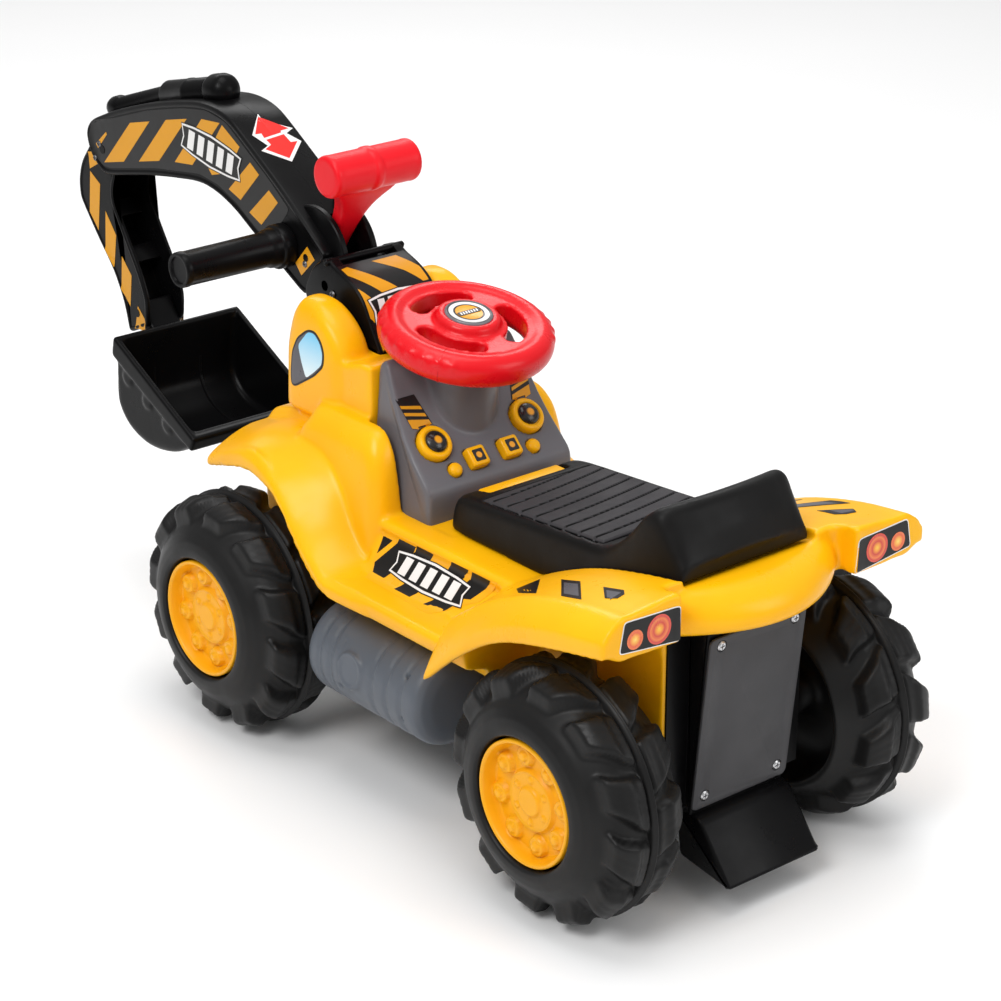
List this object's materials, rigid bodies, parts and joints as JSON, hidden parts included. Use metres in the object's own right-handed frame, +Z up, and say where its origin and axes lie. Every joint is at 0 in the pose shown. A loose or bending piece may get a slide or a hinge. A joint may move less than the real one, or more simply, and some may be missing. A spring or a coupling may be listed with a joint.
{
  "type": "ride on digger",
  "caption": "Child ride-on digger with chunky wheels, a lifting seat over a storage bin, a toy steering wheel and a hand-worked digging arm with bucket.",
  "frame": {"origin": "on the ground, under the middle of the whole toy in length and width, arm at rest", "axes": "+Z up, -Y forward towards the digging arm, +X to the rider's left"},
  "size_m": [0.305, 0.806, 0.4381],
  "materials": {
    "yellow_plastic": "glossy moulded",
    "black_plastic": "glossy moulded",
    "tyre_plastic": "satin blow moulded",
    "grey_plastic": "satin moulded",
    "tank_plastic": "satin blow moulded",
    "red_plastic": "glossy moulded",
    "pad_plastic": "matt ribbed",
    "plate_plastic": "matt",
    "badge_metal": "metal-look",
    "steel": "plain"
  },
  "bodies": {
    "body": {"body_shell": "yellow_plastic", "underframe": "black_plastic", "rear_support": "black_plastic", "rear_plate": "plate_plastic", "plate_screw_upper_left": "steel", "plate_screw_upper_right": "steel", "plate_screw_lower_left": "steel", "plate_screw_lower_right": "steel", "side_tank_left": "tank_plastic", "side_tank_right": "tank_plastic", "front_axle": "steel", "rear_axle": "steel", "push_nut_front_left": "steel", "push_nut_front_right": "steel", "push_nut_rear_left": "steel", "push_nut_rear_right": "steel", "axle_spacer_front_left": "black_plastic", "axle_spacer_front_right": "black_plastic", "axle_spacer_rear_left": "black_plastic", "axle_spacer_rear_right": "black_plastic", "console": "grey_plastic", "lamp_left": "yellow_plastic", "lamp_right": "yellow_plastic", "sound_box": "black_plastic", "arm_base": "black_plastic", "boom_pin": "steel", "seat_hinge_pin": "steel"},
    "steering": {"steering_wheel": "red_plastic", "steering_cap": "badge_metal", "steering_shaft": "black_plastic"},
    "seat": {"seat_lid": "black_plastic", "seat_pad": "pad_plastic"},
    "wheel_front_left": {"tyre_front_left": "tyre_plastic", "hubcap_front_left": "yellow_plastic"},
    "wheel_front_right": {"tyre_front_right": "tyre_plastic", "hubcap_front_right": "yellow_plastic"},
    "wheel_rear_left": {"tyre_rear_left": "tyre_plastic", "hubcap_rear_left": "yellow_plastic"},
    "wheel_rear_right": {"tyre_rear_right": "tyre_plastic", "hubcap_rear_right": "yellow_plastic"},
    "round_button_left_body": {"round_button_left": "yellow_plastic"},
    "round_button_right_body": {"round_button_right": "yellow_plastic"},
    "square_button_left_body": {"square_button_left": "yellow_plastic"},
    "square_button_right_body": {"square_button_right": "yellow_plastic"},
    "boom": {"boom_shell_left": "black_plastic", "boom_shell_right": "black_plastic", "side_grip": "black_plastic", "cylinder_barrel": "black_plastic", "cylinder_rod": "black_plastic", "stick_pin": "steel", "lever_pin": "steel"},
    "lever": {"control_lever": "red_plastic", "lever_quadrant": "black_plastic"},
    "push_rod_body": {"push_rod": "steel"},
    "stick_arm": {"stick": "black_plastic", "bucket_pin": "steel"},
    "bucket_body": {"bucket": "black_plastic"}
  },
  "joints": [
    {"name": "steering_turn", "type": "hinge", "parent": "body", "child": "steering", "pos_m": [0, 0.072, 0.306], "axis": [0, 0.2079, 0.9781], "continuous": true},
    {"name": "seat_open", "type": "hinge", "parent": "body", "child": "seat", "pos_m": [0, 0.351, 0.2355], "axis": [-1, 0, 0], "range_deg": [0, 70]},
    {"name": "round_button_left_press", "type": "slide", "parent": "body", "child": "round_button_left_body", "axis": [0, -0.7071, -0.7071], "range_m": [0, 0.002], "stiffness_N_per_m": 400},
    {"name": "round_button_right_press", "type": "slide", "parent": "body", "child": "round_button_right_body", "axis": [0, -0.7071, -0.7071], "range_m": [0, 0.002], "stiffness_N_per_m": 400},
    {"name": "square_button_left_press", "type": "slide", "parent": "body", "child": "square_button_left_body", "axis": [0, -0.7071, -0.7071], "range_m": [0, 0.002], "stiffness_N_per_m": 400},
    {"name": "square_button_right_press", "type": "slide", "parent": "body", "child": "square_button_right_body", "axis": [0, -0.7071, -0.7071], "range_m": [0, 0.002], "stiffness_N_per_m": 400},
    {"name": "wheel_front_left_spin", "type": "hinge", "parent": "body", "child": "wheel_front_left", "pos_m": [0.114, -0.049, 0.09], "axis": [1, 0, 0], "continuous": true},
    {"name": "wheel_front_right_spin", "type": "hinge", "parent": "body", "child": "wheel_front_right", "pos_m": [-0.114, -0.049, 0.09], "axis": [1, 0, 0], "continuous": true},
    {"name": "wheel_rear_left_spin", "type": "hinge", "parent": "body", "child": "wheel_rear_left", "pos_m": [0.114, 0.313, 0.09], "axis": [1, 0, 0], "continuous": true},
    {"name": "wheel_rear_right_spin", "type": "hinge", "parent": "body", "child": "wheel_rear_right", "pos_m": [-0.114, 0.313, 0.09], "axis": [1, 0, 0], "continuous": true},
    {"name": "boom_lift", "type": "hinge", "parent": "body", "child": "boom", "pos_m": [0, -0.048, 0.32], "axis": [-1, 0, 0], "range_deg": [-10, 30]},
    {"name": "stick_swing", "type": "hinge", "parent": "boom", "child": "stick_arm", "pos_m": [0, -0.356, 0.352], "axis": [1, 0, 0], "range_deg": [-22, 22]},
    {"name": "lever_swing", "type": "hinge", "parent": "boom", "child": "lever", "pos_m": [0, -0.084, 0.33], "axis": [1, 0, 0], "range_deg": [-17, 17]},
    {"name": "push_rod_slide", "type": "slide", "parent": "boom", "child": "push_rod_body", "axis": [0, -1, 0], "range_m": [-0.0062, 0.0062]},
    {"name": "bucket_curl", "type": "hinge", "parent": "stick_arm", "child": "bucket_body", "pos_m": [0, -0.325, 0.222], "axis": [1, 0, 0], "range_deg": [-15, 20]}
  ],
  "couplings": [
    {"joint": "lever_swing", "follows": "stick_swing", "ratio": 0.75},
    {"joint": "push_rod_slide", "follows": "stick_swing", "m_per_rad": 0.015}
  ]
}
